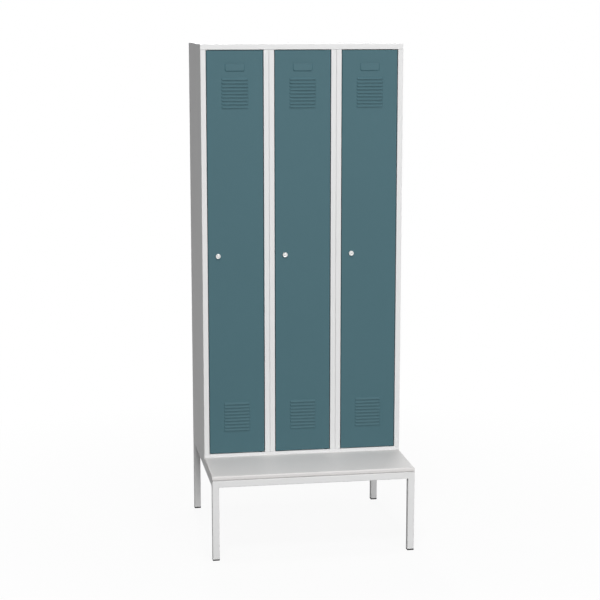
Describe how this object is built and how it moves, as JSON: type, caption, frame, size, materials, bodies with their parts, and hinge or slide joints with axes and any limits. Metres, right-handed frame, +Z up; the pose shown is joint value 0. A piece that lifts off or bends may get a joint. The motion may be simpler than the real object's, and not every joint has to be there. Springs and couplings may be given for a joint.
{
  "type": "gym locker",
  "caption": "Free-standing sheet-steel clothes locker with narrow louvred doors, on a square-tube frame that carries a bench seat in front.",
  "frame": {"origin": "on the floor, under the middle of the width and of the whole depth, bench included", "axes": "+X to the right as seen from the bench, +Y from the bench to the back, +Z up"},
  "size_m": [0.9, 0.81, 2.225],
  "materials": {
    "light_grey_paint": "satin powder coat",
    "teal_paint": "satin powder coat",
    "seat_laminate": "light grey laminate on board",
    "lock_chrome": "polished",
    "zinc_plated_steel": "bright zinc plating",
    "black_plastic": "matte"
  },
  "bodies": {
    "locker": {"leg_front_left": "light_grey_paint", "foot_front_left": "black_plastic", "leg_front_right": "light_grey_paint", "foot_front_right": "black_plastic", "leg_rear_left": "light_grey_paint", "foot_rear_left": "black_plastic", "leg_rear_right": "light_grey_paint", "foot_rear_right": "black_plastic", "rail_front": "light_grey_paint", "rail_rear": "light_grey_paint", "rail_cross": "light_grey_paint", "rail_left": "light_grey_paint", "rail_right": "light_grey_paint", "seat_board": "seat_laminate", "roof": "light_grey_paint", "floor": "light_grey_paint", "back_panel": "light_grey_paint", "left_latch_wall": "light_grey_paint", "left_hinge_wall": "light_grey_paint", "left_hat_shelf": "light_grey_paint", "left_coat_rail": "zinc_plated_steel", "left_lower_hinge_pin": "zinc_plated_steel", "left_upper_hinge_pin": "zinc_plated_steel", "left_hinge_washer": "black_plastic", "middle_latch_wall": "light_grey_paint", "middle_hinge_wall": "light_grey_paint", "middle_hat_shelf": "light_grey_paint", "middle_coat_rail": "zinc_plated_steel", "middle_lower_hinge_pin": "zinc_plated_steel", "middle_upper_hinge_pin": "zinc_plated_steel", "middle_hinge_washer": "black_plastic", "right_latch_wall": "light_grey_paint", "right_hinge_wall": "light_grey_paint", "right_hat_shelf": "light_grey_paint", "right_coat_rail": "zinc_plated_steel", "right_lower_hinge_pin": "zinc_plated_steel", "right_upper_hinge_pin": "zinc_plated_steel", "right_hinge_washer": "black_plastic"},
    "left_door_leaf": {"left_door": "teal_paint", "left_door_stiffener": "teal_paint", "left_lock_housing": "lock_chrome", "left_lock_nut": "zinc_plated_steel"},
    "left_lock_plug": {"left_lock_barrel": "lock_chrome", "left_lock_cam": "zinc_plated_steel"},
    "left_sliding_hook": {"left_coat_hook": "zinc_plated_steel"},
    "middle_door_leaf": {"middle_door": "teal_paint", "middle_door_stiffener": "teal_paint", "middle_lock_housing": "lock_chrome", "middle_lock_nut": "zinc_plated_steel"},
    "middle_lock_plug": {"middle_lock_barrel": "lock_chrome", "middle_lock_cam": "zinc_plated_steel"},
    "middle_sliding_hook": {"middle_coat_hook": "zinc_plated_steel"},
    "right_door_leaf": {"right_door": "teal_paint", "right_door_stiffener": "teal_paint", "right_lock_housing": "lock_chrome", "right_lock_nut": "zinc_plated_steel"},
    "right_lock_plug": {"right_lock_barrel": "lock_chrome", "right_lock_cam": "zinc_plated_steel"},
    "right_sliding_hook": {"right_coat_hook": "zinc_plated_steel"}
  },
  "joints": [
    {"name": "left_door_hinge", "type": "hinge", "parent": "locker", "child": "left_door_leaf", "pos_m": [-0.1913, -0.0845, 0.395], "axis": [0, 0, 1], "range_deg": [0, 115]},
    {"name": "left_lock_turn", "type": "hinge", "parent": "left_door_leaf", "child": "left_lock_plug", "pos_m": [-0.38, -0.0935, 1.29825], "axis": [0, 1, 0], "range_deg": [0, 90]},
    {"name": "left_hook_slide", "type": "slide", "parent": "locker", "child": "left_sliding_hook", "axis": [1, 0, 0], "range_m": [-0.14, 0.14]},
    {"name": "middle_door_hinge", "type": "hinge", "parent": "locker", "child": "middle_door_leaf", "pos_m": [0.1087, -0.0845, 0.395], "axis": [0, 0, 1], "range_deg": [0, 115]},
    {"name": "middle_lock_turn", "type": "hinge", "parent": "middle_door_leaf", "child": "middle_lock_plug", "pos_m": [-0.08, -0.0935, 1.29825], "axis": [0, 1, 0], "range_deg": [0, 90]},
    {"name": "middle_hook_slide", "type": "slide", "parent": "locker", "child": "middle_sliding_hook", "axis": [1, 0, 0], "range_m": [-0.14, 0.14]},
    {"name": "right_door_hinge", "type": "hinge", "parent": "locker", "child": "right_door_leaf", "pos_m": [0.4087, -0.0845, 0.395], "axis": [0, 0, 1], "range_deg": [0, 115]},
    {"name": "right_lock_turn", "type": "hinge", "parent": "right_door_leaf", "child": "right_lock_plug", "pos_m": [0.22, -0.0935, 1.29825], "axis": [0, 1, 0], "range_deg": [0, 90]},
    {"name": "right_hook_slide", "type": "slide", "parent": "locker", "child": "right_sliding_hook", "axis": [1, 0, 0], "range_m": [-0.14, 0.14]}
  ]
}
